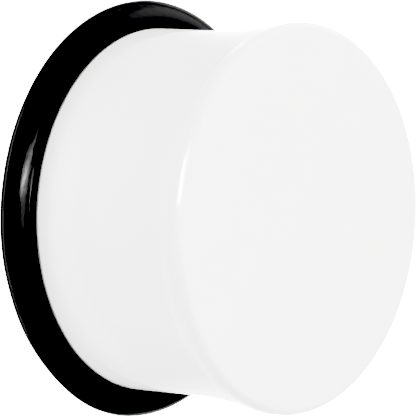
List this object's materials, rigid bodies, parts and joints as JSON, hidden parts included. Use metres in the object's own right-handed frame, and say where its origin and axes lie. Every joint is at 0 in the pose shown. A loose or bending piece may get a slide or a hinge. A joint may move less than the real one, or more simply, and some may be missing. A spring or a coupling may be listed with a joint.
{
  "type": "single flare ear plug gauge",
  "caption": "White acrylic single flare ear plug: a straight round barrel flaring to a flat blank front face, held by a black rubber ring in a groove near its back.",
  "frame": {"origin": "centre of the flat back face, which is the middle of the lowest plane that the plug stands on", "axes": "+Z along the barrel's axis, from the back face to the blank front face; X and Y are any two directions square to it, because the part is round"},
  "size_m": [0.0252, 0.0252, 0.0141],
  "materials": {
    "acrylic_white": "turned acrylic, polished to a gloss",
    "rubber_black": "moulded rubber, satin"
  },
  "bodies": {
    "root": {"plug_body": "acrylic_white", "o_ring": "rubber_black"}
  },
  "joints": []
}
